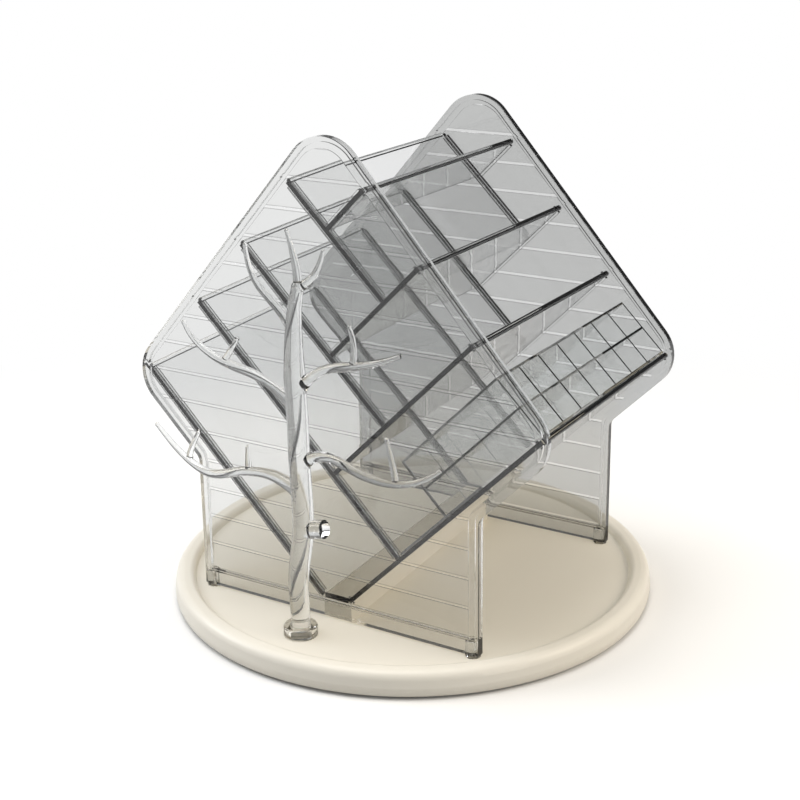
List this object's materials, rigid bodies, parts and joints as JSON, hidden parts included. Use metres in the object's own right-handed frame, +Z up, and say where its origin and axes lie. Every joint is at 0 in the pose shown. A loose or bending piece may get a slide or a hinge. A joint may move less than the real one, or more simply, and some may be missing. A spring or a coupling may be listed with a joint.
{
  "type": "rotating makeup organizer",
  "caption": "House-shaped clear cosmetics organizer on a round turntable, with slanted open bays, a slide-out lipstick tray and a lift-out jewellery tree.",
  "frame": {"origin": "on the turntable's axis, at the surface the organizer stands on", "axes": "+Z up along the turntable's axis; -Y towards the front gable and the jewellery tree; +X towards the side with the lipstick tray"},
  "size_m": [0.2836, 0.2836, 0.2814],
  "materials": {
    "cream_plastic": "satin moulded cream plastic",
    "clear_plastic": "clear polished polystyrene",
    "bearing_steel": "plain steel",
    "grip_rubber": "matt",
    "nylon": "matt"
  },
  "bodies": {
    "base": {"grip_ring": "grip_rubber", "base_plate": "cream_plastic", "lower_race": "bearing_steel", "thrust_washer": "nylon"},
    "bearing": {"ball_cage": "nylon", "bearing_ball_1": "bearing_steel", "bearing_ball_2": "bearing_steel", "bearing_ball_3": "bearing_steel", "bearing_ball_4": "bearing_steel", "bearing_ball_5": "bearing_steel", "bearing_ball_6": "bearing_steel", "bearing_ball_7": "bearing_steel", "bearing_ball_8": "bearing_steel"},
    "turntable": {"turntable_dish": "cream_plastic", "upper_race": "bearing_steel", "centre_pin": "bearing_steel", "tree_collar": "clear_plastic", "keel_rail": "cream_plastic", "keel_plate": "clear_plastic", "front_panel": "clear_plastic", "rear_panel": "clear_plastic", "leg_peg_1": "clear_plastic", "leg_peg_2": "clear_plastic", "leg_peg_3": "clear_plastic", "leg_peg_4": "clear_plastic", "right_shelf_top": "clear_plastic", "right_shelf_mid": "clear_plastic", "right_shelf_low": "clear_plastic", "right_floor": "clear_plastic", "left_shelf_top": "clear_plastic", "left_shelf_mid": "clear_plastic", "left_shelf_low": "clear_plastic", "left_floor": "clear_plastic"},
    "tray": {"tray_floor": "clear_plastic", "tray_middle": "clear_plastic", "tray_roof": "clear_plastic", "tray_back": "clear_plastic", "tray_end_front": "clear_plastic", "tray_end_rear": "clear_plastic", "tray_cell_wall_low_1": "clear_plastic", "tray_cell_wall_low_2": "clear_plastic", "tray_cell_wall_low_3": "clear_plastic", "tray_cell_wall_low_4": "clear_plastic", "tray_cell_wall_low_5": "clear_plastic", "tray_cell_wall_low_6": "clear_plastic", "tray_cell_wall_high_1": "clear_plastic", "tray_cell_wall_high_2": "clear_plastic", "tray_cell_wall_high_3": "clear_plastic", "tray_cell_wall_high_4": "clear_plastic", "tray_cell_wall_high_5": "clear_plastic", "tray_cell_wall_high_6": "clear_plastic"},
    "tree": {"jewellery_tree": "clear_plastic"}
  },
  "joints": [
    {"name": "turntable_spin", "type": "hinge", "parent": "base", "child": "turntable", "pos_m": [0, 0, 0.011], "axis": [0, 0, 1], "continuous": true},
    {"name": "bearing_spin", "type": "hinge", "parent": "base", "child": "bearing", "pos_m": [0, 0, 0.0061], "axis": [0, 0, 1], "continuous": true},
    {"name": "tray_slide", "type": "slide", "parent": "turntable", "child": "tray", "axis": [0.7071, 0, 0.7071], "range_m": [0, 0.075]},
    {"name": "tree_lift", "type": "slide", "parent": "turntable", "child": "tree", "axis": [0, 0, 1], "range_m": [0, 0.012]}
  ],
  "couplings": [
    {"joint": "bearing_spin", "follows": "turntable_spin", "ratio": 0.5}
  ]
}
